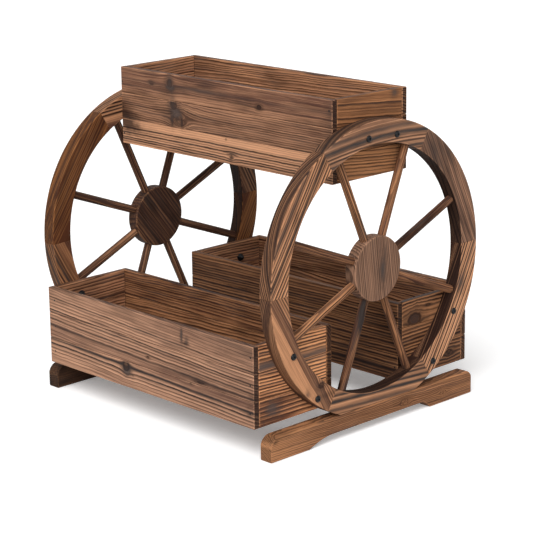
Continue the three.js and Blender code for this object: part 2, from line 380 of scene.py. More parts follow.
class Graph:
    """The nodes of a material or of the world."""

    def __init__(self, owner):
        owner.use_nodes = True
        self.owner, self.tree = owner, owner.node_tree

    def node(self, kind, **settings):
        made = self.tree.nodes.new(kind)
        for key, value in settings.items():
            setattr(made, key, value)
        return made

    def feed(self, socket, value):
        """Links a signal to a socket, or sets the socket to a constant."""
        if isinstance(value, Signal):
            self.tree.links.new(value.socket, socket)
        else:
            socket.default_value = value

    def shader(self, **values):
        """Feeds the shader's sockets, named with _ for a space."""
        inputs = self.tree.nodes["Principled BSDF"].inputs
        for name, value in values.items():
            self.feed(inputs[name.replace("_", " ")], value)

    def math(self, operation, *values, clamp=False):
        """The result of a maths node."""
        made = self.node("ShaderNodeMath", operation=operation, use_clamp=clamp)
        for socket, value in zip(made.inputs, values):
            self.feed(socket, value)
        return Signal(self, made.outputs[0])

    def times(self, first, second=1.0):
        """A product held between 0 and 1."""
        return self.math("MULTIPLY", first, second, clamp=True)

    def plus(self, first, second):
        """A sum held between 0 and 1."""
        return self.math("ADD", first, second, clamp=True)

    def larger(self, first, second):
        return self.math("MAXIMUM", first, second)

    def smooth(self, value, start, end):
        """0 up to start, 1 from end, and a soft step between."""
        made = self.node("ShaderNodeMapRange", interpolation_type="SMOOTHSTEP")
        for name, given in (("Value", value), ("From Min", start), ("From Max", end)):
            self.feed(made.inputs[name], given)
        return Signal(self, made.outputs["Result"])

    def vector(self, *values):
        made = self.node("ShaderNodeCombineXYZ")
        for socket, value in zip(made.inputs, values):
            self.feed(socket, value)
        return Signal(self, made.outputs[0])

    def split(self, vector, kind="XYZ"):
        made = self.node(f"ShaderNodeSeparate{kind}")
        self.tree.links.new(vector, made.inputs[0])
        return [Signal(self, out) for out in made.outputs]

    def place(self):
        """The place in the object: x, y and z in metres."""
        return self.split(self.node("ShaderNodeTexCoord").outputs["Object"])

    def attribute(self, name):
        return self.node("ShaderNodeAttribute", attribute_name=name).outputs

    def noise(self, vector, detail=2.0, rough=0.5):
        """Noise from 0 to 1 that changes about once per unit of the vector."""
        made = self.node("ShaderNodeTexNoise")
        values = {"Vector": vector, "Scale": 1.0, "Detail": detail, "Roughness": rough}
        for name, value in values.items():
            self.feed(made.inputs[name], value)
        return Signal(self, made.outputs["Fac"])

    def curve(self, value, samples):
        """A profile of evenly spaced samples, read at 0 to 1."""
        made = self.node("ShaderNodeFloatCurve")
        curve = made.mapping.curves[0]
        for _ in range(len(samples) - 2):
            curve.points.new(0.5, 0.5)
        for point, x, y in zip(curve.points, np.linspace(0, 1, len(samples)), samples):
            point.location = (x, y)
            point.handle_type = "VECTOR"
        made.mapping.update()
        self.feed(made.inputs["Value"], value)
        return Signal(self, made.outputs["Value"])

    def chance(self, value):
        """One random number for each whole value."""
        made = self.node("ShaderNodeTexWhiteNoise", noise_dimensions="1D")
        self.feed(made.inputs["W"], value)
        return Signal(self, made.outputs["Value"])

    def mix(self, share, first, second, blend="MIX"):
        """A colour between two others: colours, or a grey where a signal is a number."""
        made = self.node("ShaderNodeMix", data_type="RGBA", blend_type=blend)
        factor, (a, b) = made.inputs["Factor"], made.inputs[6:8]  # the colour sockets
        self.feed(factor, share)
        for socket, value in ((a, first), (b, second)):
            self.feed(socket, value if isinstance(value, Signal) else (*value, 1.0))
        return Signal(self, made.outputs[2])

    def shade(self, colour, amount):
        """A colour made darker or lighter by an amount around 1."""
        grey = amount if isinstance(amount, Signal) else (amount,) * 3
        return self.mix(1.0, colour, grey, "MULTIPLY")

    def bump(self, height, distance, strength):
        """Relief on the surface, with its height in metres."""
        made = self.node("ShaderNodeBump")
        values = {"Distance": distance, "Strength": strength, "Height": height}
        for name, value in values.items():
            self.feed(made.inputs[name], value)
        self.shader(Normal=Signal(self, made.outputs["Normal"]))


# ---------------------------------------------------------------- scorched wood

CHART_PLACES = 240

# Noise in the wood: waves per millimetre along the fibres and across them, detail, roughness.
NOISES = {
    "drift": (0.007, 0.02, 1.0, 0.5),  # slow wander of the rings
    "ripple": (0.045, 0.11, 1.0, 0.5),  # quick wander of the rings
    "fibre": (0.03, 1.5, 3.0, 0.6),
    "streak": (0.006, 0.28, 2.0, 0.5),
    "blotch": (0.009, 0.035, 2.0, 0.5),  # where the surface is charred
    "patchy": (0.022, 0.22, 2.0, 0.5),  # how strong a charted ring is along its length
    "hair": (0.02, 2.6, 1.0, 0.5),  # thin light lines
    "sooty": (0.012, 0.09, 1.0, 0.5),  # where dark rings are grey
}
LARGE_KNOT = 9.5  # from this radius on, in millimetres, a knot shows its own rings
CHAR_COVER = 0.88  # share of the wood that char hides at most
KNOT_COVER = 0.92
SIDE_SHADE_ON_LATE = 0.96  # painted shade on a narrow side: the share of its late wood it covers; the line below, of its early wood
SIDE_SHADE_BASE = 0.5
SPECULAR = 0.12
RELIEF = 0.0006  # height of the grain, in metres


def band_profile(chart):
    """Profiles across a face, from the rings listed in a chart: how dark, how sooty and how
    light the wood is at evenly spaced places. A ring darkens slowly on its lower side and
    ends sharply on its upper side, where the brushed wood next to it catches the light."""
    place = np.linspace(*chart["span"], CHART_PLACES)
    bold = chart.get("bold", 1.0)
    clear = np.ones_like(place)
    soot = np.zeros_like(place)
    tone = np.interp(place, *zip(*chart["tone"]))
    for centre, half, dark, *grey in chart["rings"]:
        half, dark = half * bold, min(1.0, dark * bold**0.5)
        u = (place - centre) / half
        shape = np.where(u < 0, np.exp(-np.abs(u / 1.7) ** 1.8), np.exp(-np.abs(u / 1.1) ** 2.6))
        clear *= 1 - dark * shape
        soot = np.maximum(soot, sum(grey) * shape)
        edge = (place - centre) / max(half, 0.6) - 2.0
        tone += 0.3 * dark * np.exp(-(edge**2) * 3)
    for centre, half, light in chart.get("rays", ()):
        tone += light * np.exp(-(((place - centre) / half) ** 2))
    return 1 - clear, soot, np.clip(tone, 0, 1)


def knots_in(g, u, v, wobble, knots, rows):
    """Knots from each point's squared distance to them, in the plane of the panel: how far
    they push the rings aside, how strongly they and their halos show, how strongly a large
    one does, and the squared distance to the nearest in its own radii."""
    push, shown, halo, large, nearest = 0.0, 0.0, 0.0, 0.0, 1e6
    for ku, kv, radius, stretch, deep in knots:
        du, dv, area = (u - ku) / stretch, v - kv, radius**2
        q = (du * du + dv * dv) * (1.0 + wobble * 0.9) + 0.2 * area
        own = 1.0
        if rows:
            lowest, width = rows
            row = math.floor((kv - lowest) / width)
            own = g.math("COMPARE", g.math("FLOOR", (v - lowest) / width), row, 0.1)
        push = push + dv * -area / q * own
        knot = g.smooth(q, 1.5 * area, area) * deep * own
        if radius > LARGE_KNOT:
            large = g.larger(large, knot)
        shown = g.larger(shown, knot)
        halo = g.larger(halo, g.smooth(q, 7.0 * area, area) * deep * own)
        nearest = g.math("MINIMUM", nearest, q / area)
    return push, shown, halo, large, nearest


def stains_in(g, u, v, wobble, stains):
    """How dark and how grey soft-edged ellipses in the plane of the panel are."""
    dark, grey = 0.0, 0.0
    for su, sv, half_u, half_v, strength, greyness in stains:
        du, dv = (u - su) / half_u, (v - sv) / half_v
        spread = (du * du + dv * dv) * (1.0 + wobble * 2.0)
        stain = g.math("EXPONENT", spread * -1.0) * strength
        dark, grey = dark + stain, grey + stain * greyness
    return dark, grey


def scorched_wood(
    name,
    line=(0.35, 0.88),
    warp=3.0,
    plane="xz",
    knots=(),
    stains=(),
    chart=None,
    tint=(1, 1),
    rows=None,
    streaks=1.3,
    sawn=0.75,
):
    """Scorched and brushed fir. Rings are worked out round the heart of the log, so faces,
    edges and sawn ends agree. "line" is where the late wood begins and is darkest within a
    ring, and "warp" how far the rings wander. Knots are (u, z, radius, stretch, depth of
    colour) and stains (u, z, half length, half height, strength, greyness) in the plane of
    the panel, in millimetres. A chart adds the rings that can be told apart on a face, and
    "tint" is the saturation and brightness. "rows" are the lowest edge and the width of the
    planks, so that a knot stays in its own. "streaks" is how strongly the wood is streaked
    along the grain, and "sawn" how dark its sawn ends are."""
    colours = bpy.context.scene.flower_cart_finish
    g = Graph(bpy.data.materials.new(name))
    x, a, d = g.split(g.attribute("grain")["Vector"])
    look = g.attribute("look")
    rings_per_mm, char, warm = g.split(look["Color"], "Color")
    contrast = Signal(g, look["Alpha"])
    # The third edge mark is how much painted shade darkens a narrow side.
    wear, end_grain, side = g.split(g.attribute("edge")["Vector"])

    if knots or stains:
        px, py, pz = g.place()
        u, v = (px if plane == "xz" else py) / MM, pz / MM
        wobble = g.noise(g.vector(px * 90.0, py * 90.0, pz * 90.0)) - 0.5
        push, knot, halo, large, nearest = knots_in(g, u, v, wobble, knots, rows)
        stain, greyness = stains_in(g, u, v, wobble, stains)
        if knots:
            a = a + push

    def wood_noise(kind):
        """One of the noises above, at the point's place in the log."""
        along, sideways, detail, rough = NOISES[kind]
        return g.noise(g.vector(x * along, a * sideways, d * sideways), detail, rough)

    drift, ripple = wood_noise("drift") - 0.5, wood_noise("ripple") - 0.5
    if chart:
        a = a + drift * (1.6 * warp) + ripple * (0.6 * warp) + d * chart.get("tilt", 0.35)
        from_heart = a
    else:
        a = a + drift * (3.0 * warp) + ripple * (0.7 * warp)
        d = d + drift * (1.5 * warp)
        from_heart = g.math("SQRT", a * a + d * d)
    count = from_heart * rings_per_mm
    uneven = g.noise(g.vector(count * 0.43, 3.7, 1.3), 1.0) - 0.5
    count = count + uneven * 1.7
    phase = g.math("FRACT", count)
    weight = 0.5 + 0.5 * g.chance(g.math("FLOOR", count))
    late = g.smooth(phase, *line) * (1.0 - g.smooth(phase, 0.95, 1.0))
    fibre, streak, blotch, patchy = map(wood_noise, ("fibre", "streak", "blotch", "patchy"))
    hair = g.smooth(wood_noise("hair"), 0.6, 0.74)
    sooty = g.smooth(wood_noise("sooty"), 0.45, 0.65)

    # Early wood by its lightness, and the dark rings over it.
    share = late * weight * contrast
    if chart:
        low, high = chart["span"]
        across = (from_heart - low) / (high - low)
        dark, soot, light = (g.curve(across, samples) for samples in band_profile(chart))
        tone = light + (warm - 0.5) + (0.1 - 0.2 * phase) * contrast
        if "fade" in chart:
            start, end, amount = chart["fade"]
            tone = tone + g.smooth(x, start, end) * amount
        share = g.larger(share, dark * (0.7 + 0.7 * patchy))
        sooty = g.larger(sooty * 0.4, soot)
    else:
        tone = warm + (0.22 - 0.44 * phase) * contrast
    light = g.plus((streak - 0.5) * streaks + (fibre - 0.5) * 0.5 + hair * 0.16, tone)
    early = g.shade(g.mix(light, colours.body, colours.ridge), 0.78 + fibre * 0.44)
    share = g.times(share)
    wood = g.mix(share, early, g.mix(sooty, colours.line, colours.soot))

    # Char, stains and knots.
    burnt = g.smooth(blotch, 0.42, 0.74) * char
    scorch = g.mix(sooty * 0.6, colours.line, colours.soot)
    if knots:
        burnt = g.plus(burnt, halo * (0.25 + 0.5 * streak))
    if stains:
        burnt = g.plus(burnt, stain * (0.6 + 0.8 * (fibre - 0.2)))
        scorch = g.mix(g.times(greyness), scorch, tuple(1.7 * c for c in colours.soot))
    wood = g.mix(g.times(burnt, CHAR_COVER), wood, scorch)
    if knots:
        year = g.math("FRACT", g.math("SQRT", nearest) * 3.6)
        rim = g.math("SUBTRACT", 0.9, large, clamp=True)
        rim = g.larger(g.smooth(nearest, 0.5, 0.85), rim)
        core = g.shade(g.mix(year * 0.6 + fibre * 0.4, colours.soot, colours.body), 0.62)
        wood = g.mix(g.times(knot, KNOT_COVER), wood, g.mix(rim, core, colours.line))

    # Edges rubbed light, sawn ends, and painted shade on the narrow sides, which also darkens the
    # joints between planks.
    wood = g.mix(wear * g.smooth(streak, 0.35, 0.7) * 0.5, wood, colours.ridge)
    wood = g.mix(g.times(end_grain, sawn + 0.22 * late), wood, colours.line)
    cover = SIDE_SHADE_BASE + (SIDE_SHADE_ON_LATE - SIDE_SHADE_BASE) * g.larger(late, share)
    wood = g.mix(g.times(side, cover), wood, colours.line)
    finish = g.node("ShaderNodeHueSaturation")
    for key, value in zip(("Saturation", "Value", "Color"), (*tint, wood)):
        g.feed(finish.inputs[key], value)

    rough = g.plus(0.58 + fibre * 0.25, share * -0.1)
    g.shader(Base_Color=Signal(g, finish.outputs["Color"]), Roughness=rough)
    g.shader(Specular_IOR_Level=SPECULAR)
    g.bump(late * 0.5 + fibre * 0.55, RELIEF, 0.45)
    return g.owner


# ---------------------------------------------------------------- finishes of each panel

# Rings that can be told apart on a face, in millimetres: in a panel by their height at its
# middle, in a felloe by their distance out from its middle line. Each ring has its place,
# half width, darkness and, where it is sooty, how grey it is. "span" is what the chart covers,
# "tone" the lightness of the wood between the rings, "rays" light bands, and "bold" widens and
# darkens all rings. "slope" and "bend" say how the rings run along the piece, "tilt" how they
# lean through its thickness, and "fade" where a change of lightness along it starts and is
# full, and how much it is. A look is rings per millimetre, charring, warmth and contrast.
CHARTS = {
    "front_box_front_wall": dict(
        span=(46, 222), bold=1.3, slope=(0.0148, 0.0002), fade=(-20, 120, -0.14),
        looks=[(0.42, 0.2, 0.5, 0.3), (0.33, 0.25, 0.5, 0.3), (0.38, 0.45, 0.46, 0.35)],
        tone=[
            (46, 0.66), (86, 0.7), (95, 0.58), (99, 0.34), (121, 0.36), (126, 0.58), (150, 0.66),
            (175, 0.8), (180, 0.72), (190, 0.62), (222, 0.5),
        ],
        rings=[
            (62, 0.6, 0.5), (67.5, 0.6, 0.6), (74, 0.7, 0.65), (80.5, 0.8, 0.75),
            (88, 1.1, 0.95, 0.2), (97.5, 1.7, 1.0, 0.5), (104, 0.6, 0.22), (112, 0.7, 0.22),
            (117, 0.6, 0.25), (123, 1.5, 0.75, 0.2), (129, 0.7, 0.5), (134.5, 1.1, 0.8),
            (141, 0.8, 0.6), (147, 0.9, 0.75, 0.1), (152, 1.0, 0.85, 0.1), (159, 0.7, 0.6),
            (165, 0.7, 0.65), (171, 0.7, 0.6), (176, 1.0, 0.8), (181.5, 0.6, 0.5),
            (187, 0.6, 0.55), (192, 0.5, 0.45), (198, 0.6, 0.45), (204, 0.6, 0.45),
            (211, 0.6, 0.45), (217, 0.6, 0.45),
        ],
        rays=[(178.5, 0.8, 0.25), (92.5, 2.0, 0.1)],
    ),
    "top_box_front_wall": dict(
        span=(450, 620), bold=1.5, slope=(0.004, 0.0),
        looks=[(0.36, 0.1, 0.5, 0.25), (0.3, 0.5, 0.5, 0.25), (0.3, 0.6, 0.5, 0.2)],
        tone=[
            (450, 0.92), (480, 0.98), (497, 1.0), (510.5, 0.94), (512, 0.4), (540, 0.34),
            (572, 0.34), (575, 0.14), (620, 0.1),
        ],
        rings=[
            (463, 0.7, 0.6), (467.5, 0.9, 0.9, 0.1), (472, 0.8, 0.85), (477, 0.7, 0.65),
            (482, 0.9, 0.95, 0.1), (486.5, 0.6, 0.6), (491.5, 0.9, 0.9), (495.5, 0.5, 0.4),
            (500, 0.5, 0.3), (504, 0.5, 0.35), (507.5, 0.5, 0.35), (511.6, 0.8, 0.75, 0.3),
            (515.5, 0.7, 0.55), (519.5, 0.7, 0.6), (523.5, 0.6, 0.55), (528, 0.7, 0.6),
            (532, 0.6, 0.6), (536, 0.8, 0.7), (540, 0.6, 0.55), (544.5, 0.6, 0.5),
            (548.5, 0.6, 0.5), (553, 0.6, 0.45), (557, 0.6, 0.45), (561.5, 0.5, 0.3),
            (566, 0.5, 0.3), (570, 0.5, 0.3), (574.5, 0.7, 0.5, 0.1), (579, 0.5, 0.3),
            (586, 2.0, 0.35, 0.5), (592, 0.5, 0.3), (597, 0.5, 0.3), (602, 0.5, 0.3),
        ],
    ),
    "back_box_front_wall": dict(
        span=(46, 222), bold=1.2, slope=(-0.012, 0.0),
        looks=[(0.3, 0.6, 0.5, 0.5), (0.3, 0.5, 0.5, 0.5), (0.28, 0.4, 0.5, 0.5)],
        tone=[(46, 0.3), (80, 0.3), (84, 0.42), (150, 0.45), (190, 0.4), (200, 0.5), (222, 0.3)],
        rings=[
            (62, 1.2, 0.8), (68, 1.2, 0.85), (76, 3.2, 1.0, 0.1), (83, 0.8, 0.7), (88, 1.6, 0.85),
            (94, 0.8, 0.7), (99, 1.8, 0.9), (105, 0.8, 0.7), (110, 1.2, 0.85), (116, 1.4, 0.9),
            (121, 0.8, 0.7), (127, 1.6, 0.9), (133, 0.8, 0.75), (138, 1.2, 0.85), (144, 1.4, 0.9),
            (150, 0.9, 0.7), (156, 1.6, 0.9), (161, 0.8, 0.75), (166, 1.1, 0.85), (171, 1.1, 0.85),
            (176, 1.4, 0.9), (182, 1.0, 0.8), (187, 1.2, 0.85), (193, 0.8, 0.7), (199, 1.0, 0.8),
            (205, 0.9, 0.7),
        ],
    ),
    "front_box_right_end": dict(
        span=(46, 222), bold=1.3, slope=(0.03, 0.0), fade=(-215, -140, 0.5),
        looks=[(0.3, 0.6, 0.42, 0.5), (0.3, 0.3, 0.5, 0.4), (0.3, 0.35, 0.5, 0.4)],
        tone=[
            (46, 0.14), (100, 0.22), (112, 0.46), (148, 0.46), (152, 0.26), (166, 0.26),
            (169, 0.44), (222, 0.34),
        ],
        rings=[
            (62, 1.2, 0.7), (70, 1.0, 0.8), (78, 1.2, 0.8), (86, 1.2, 0.8, 0.2), (95, 1.3, 0.8),
            (103, 1.0, 0.8), (109, 0.9, 0.9), (114.5, 0.8, 0.9), (120, 0.9, 0.9), (126, 0.9, 0.95),
            (132, 0.8, 0.9), (138, 1.1, 0.95), (145, 0.9, 0.9), (150.5, 0.8, 0.8, 0.2),
            (159.5, 6.0, 0.72, 1.0), (168, 0.9, 0.7, 0.3), (174.5, 1.5, 0.95, 0.1),
            (181, 0.9, 0.9), (186, 1.3, 0.95), (192.5, 1.0, 0.9), (198, 0.9, 0.85),
            (203, 0.9, 0.8), (210, 0.9, 0.8),
        ],
    ),
    "top_box_right_end": dict(
        span=(440, 630), slope=(0.085, 0.0),
        looks=[(0.32, 0.2, 0.5, 0.4), (0.3, 0.5, 0.45, 0.4), (0.3, 0.3, 0.5, 0.4)],
        tone=[
            (440, 0.6), (470, 0.68), (506, 0.8), (520, 0.4), (560, 0.36), (580, 0.42), (630, 0.42),
        ],
        rings=[
            (458, 0.8, 0.8), (466, 1.4, 0.9, 0.2), (473, 0.8, 0.8), (479, 1.0, 0.85),
            (485, 0.8, 0.85), (490, 0.8, 0.8), (496, 1.0, 0.9), (501, 0.8, 0.85), (508, 1.0, 0.8),
            (516, 1.6, 0.7, 0.5), (525, 1.2, 0.7, 0.3), (535, 1.2, 0.7), (545, 1.2, 0.8),
            (553, 1.0, 0.8), (560, 1.0, 0.8), (567.5, 1.4, 0.85, 0.2), (574, 0.7, 0.6),
            (579, 0.7, 0.6), (584, 0.7, 0.55), (592, 1.5, 0.85, 0.3), (600, 0.7, 0.4),
            (608, 0.7, 0.4), (616, 0.7, 0.4),
        ],
    ),
    "back_box_right_end": dict(
        span=(40, 224), bold=1.3, slope=(-0.03, 0.0),
        looks=[(0.3, 0.4, 0.45, 0.5), (0.3, 0.35, 0.42, 0.5), (0.3, 0.3, 0.5, 0.4)],
        tone=[(40, 0.4), (90, 0.45), (130, 0.42), (150, 0.55), (224, 0.5)],
        rings=[
            (52, 1.2, 0.8), (60, 1.1, 0.8), (67, 1.2, 0.85), (74, 0.9, 0.8), (81, 1.2, 0.8),
            (88, 1.0, 0.8), (95, 1.1, 0.85), (101, 0.9, 0.8), (108, 1.3, 0.9), (114, 0.9, 0.8),
            (120, 1.1, 0.8), (127, 1.2, 0.85), (134, 1.2, 0.85), (141, 1.0, 0.8), (148, 1.0, 0.7),
            (155, 1.0, 0.6), (163, 1.1, 0.6), (173, 1.1, 0.6), (181, 1.1, 0.7), (188, 1.0, 0.8),
            (195, 1.3, 0.9), (202, 1.0, 0.8), (209, 1.0, 0.8),
        ],
    ),
}

# Saturation and brightness of a panel's finish. The back box's front wall, under the top box, is
# darker as painted shade.
PANEL_TINTS_AND_SHADE = {
    "top_box_front_wall": (0.95, 1.24),
    "front_box_front_wall": (0.88, 1.1),
    "front_box_right_end": (1.05, 1.8),
    "top_box_right_end": (1.08, 0.9),
    "back_box_right_end": (1.05, 0.9),
    "back_box_front_wall": (1.05, 0.75),
    "front_box_back_wall": (1.05, 0.8),
}

# Knots and stains of the panels, as scorched_wood takes them.
KNOTS = {
    "top_box_front_wall": [
        (-141, 592, 8.0, 1.0, 0.55), (-131, 552, 9.0, 1.1, 0.6), (-116, 524, 8.0, 1.2, 0.35),
        (-117, 527, 12.0, 1.7, 0.0), (101, 575, 4.4, 1.3, 0.9), (-193, 586, 3.5, 1.8, 0.45),
        (12, 505, 2.2, 0.8, 0.45), (27, 474, 4.4, 1.5, 0.45),
    ],
    "front_box_front_wall": [
        (-58, 99, 9.5, 0.95, 0.8), (5, 130, 2.4, 1.8, 0.7), (121, 107, 2.2, 2.6, 0.9),
        (147, 113.5, 2.2, 4.5, 0.85),
    ],
    "back_box_right_end": [
        (134, 169, 13.0, 1.45, 0.85), (172, 189, 2.4, 3.0, 0.7), (233, 82, 7.0, 1.6, 0.6),
    ],
}

STAINS = {
    "top_box_front_wall": [
        (-141, 594, 11, 15, 0.75, 0.9), (-141, 583, 9, 1.6, 0.8, 0.0),
        (-134, 556, 12, 15, 0.75, 0.7), (-121, 535, 13, 10, 0.9, 0.7),
        (-136, 521, 4, 14, 0.8, 0.2), (-109, 519, 3, 12, 0.8, 0.2), (-195, 586, 9, 6, 0.4, 0.8),
        (-268, 503, 26, 17, 1.0, 0.1), (-276, 527, 26, 24, 0.75, 0.0),
        (-248, 492, 30, 11, 0.6, 0.0), (-60, 586, 60, 6, 0.5, 0.8), (30, 480, 12, 2.5, 0.8, 0.3),
        (24, 470, 5, 9, 0.6, 0.3), (-105, 476, 16, 1.8, 0.5, 0.0), (281, 585, 16, 40, 0.45, 0.3),
    ],
    "front_box_front_wall": [
        (240, 200, 80, 14, 0.45, 0.35), (281, 110, 12, 12, 0.6, 0.0), (272, 85, 10, 6, 0.9, 0.1),
        (99, 193, 3.5, 15, 1.3, 0.5), (108, 177.5, 9, 3.5, 1.3, 0.1), (112, 186, 5, 8, 0.6, 0.8),
        (-56, 89, 13, 8, 1.1, 0.6), (-270, 106, 26, 4, 0.5, 0.0), (135, 118, 40, 6, 0.4, 0.2),
    ],
    "front_box_right_end": [
        (-237, 86, 20, 16, 1.3, 0.35), (-252, 172, 24, 6, 0.6, 0.6), (-210, 66, 40, 8, 0.5, 0.1),
    ],
    "top_box_right_end": [(77, 602, 11, 9, 1.0, 0.9)],
    "back_box_right_end": [(134, 169, 21, 15, 0.6, 0.5), (245, 80, 22, 9, 0.5, 0.1)],
}

# From and to: rings per millimetre, charring, warmth and contrast of a plank with no chart.
PLAIN_LOOKS = ((0.15, 0.22), (0.4, 0.8), (0.3, 0.5), (0.8, 1.0))


def panel_planks(box_name, panel):
    """The planks of one panel: for each, its middle, directions and lengths."""
    settings = bpy.context.scene.flower_cart_planks
    name = f"{box_name}_{panel}"
    low, high = node_box(name)
    if panel == "floor":
        along, across, out = X, Y, Z
    elif panel.endswith("wall"):
        along, across, out = X, Z, -Y if panel.startswith("front") else Y
    else:
        along, across, out = Y, Z, SIDES[panel.split("_")[0]] * X
    length, width, thick = (abs((high - low) @ way) for way in (along, across, out))
    if panel.endswith("end"):
        length -= 2 * settings.end_gap
    planks = []
    for i in range(settings.count):
        centre = (low + high) / 2 + across * width * ((i + 0.5) / settings.count - 0.5)
        planks.append((centre, along, across, out, length, width / settings.count, thick))
    return name, planks


def plank_shape(settings, seed, centre, along, across, out, length, width, thick):
    """A bar of the plank's size, whose four long edges each wander by themselves."""
    place, inset = stations(length, 9.0, settings.end_radius)
    half = width / 2 - settings.joint / 2
    worn = [np.abs(wander(place, settings.waviness, 5 * seed + k)) for k in range(4)]
    lows = np.stack([worn[0] - half, 0.4 * worn[1] - thick / 2], -1)
    highs = np.stack([half - worn[2], thick / 2 - 0.4 * worn[3]], -1)
    path = centre + along * (place - length / 2)[:, None]
    # Painted shade on the plank's narrow sides, low and high across; it also darkens the joints.
    radius, marks = settings.edge_radius, (0.35, 0.75)
    return swept_bar(path, across, out, lows, highs, inset, radius, marks)


def build_panel(scene, box_name, panel, seed):
    """The planks of one panel. With a chart, a plank's place in the log is its place in the
    panel, so the charted rings run over all of them. Without, each has its own cut."""
    name, planks = panel_planks(box_name, panel)
    draw = np.random.default_rng(400 + seed)
    chart = CHARTS.get(name)
    material = scorched_wood(
        f"Scorched planks {name.replace('_', ' ')}",
        plane="yz" if panel.endswith("end") else "xz",
        knots=KNOTS.get(name, ()),
        stains=STAINS.get(name, ()),
        chart=chart,
        tint=PANEL_TINTS_AND_SHADE.get(name, (1.0, 1.1)),
        rows=None if panel == "floor" else (node_box(name)[0][2], planks[0][5]),
    )
    for i, plank in enumerate(planks):
        seed += 1
        centre, along, across, out, *_, thick = plank
        face = centre + out * thick / 2
        if chart:
            look = chart["looks"][i % len(chart["looks"])]
            face = face * (1 - along) * (1 - across)
            cut = {"slope": chart["slope"]}
        else:
            cut = {
                "heart": (draw.uniform(-110, 110), draw.uniform(12, 40)),
                "lean": (draw.uniform(-0.04, 0.04), draw.uniform(-0.05, 0.05)),
                "shift": 977.0 * seed,
            }
            look = [draw.uniform(*ends) for ends in PLAIN_LOOKS]
        make_wood(
            f"{name}_plank_{i + 1}",
            plank_shape(scene.flower_cart_planks, seed, *plank),
            material,
            "plank_wood",
            [name] if i == 0 else (),
            (face, along, across, -out),
            cut,
            look,
        )


class FCS_OT_planks(bpy.types.Operator):
    """Planks of the walls, ends and floors of the three planter boxes"""

    bl_idname = "flower_cart.planks"
    bl_label = "Planks"

    def execute(self, context):
        seed = 0
        for box_name in BOX_NAMES:
            for panel in PANELS:
                build_panel(context.scene, box_name, panel, seed)
                seed += context.scene.flower_cart_planks.count
        return {"FINISHED"}


# ---------------------------------------------------------------- wheels

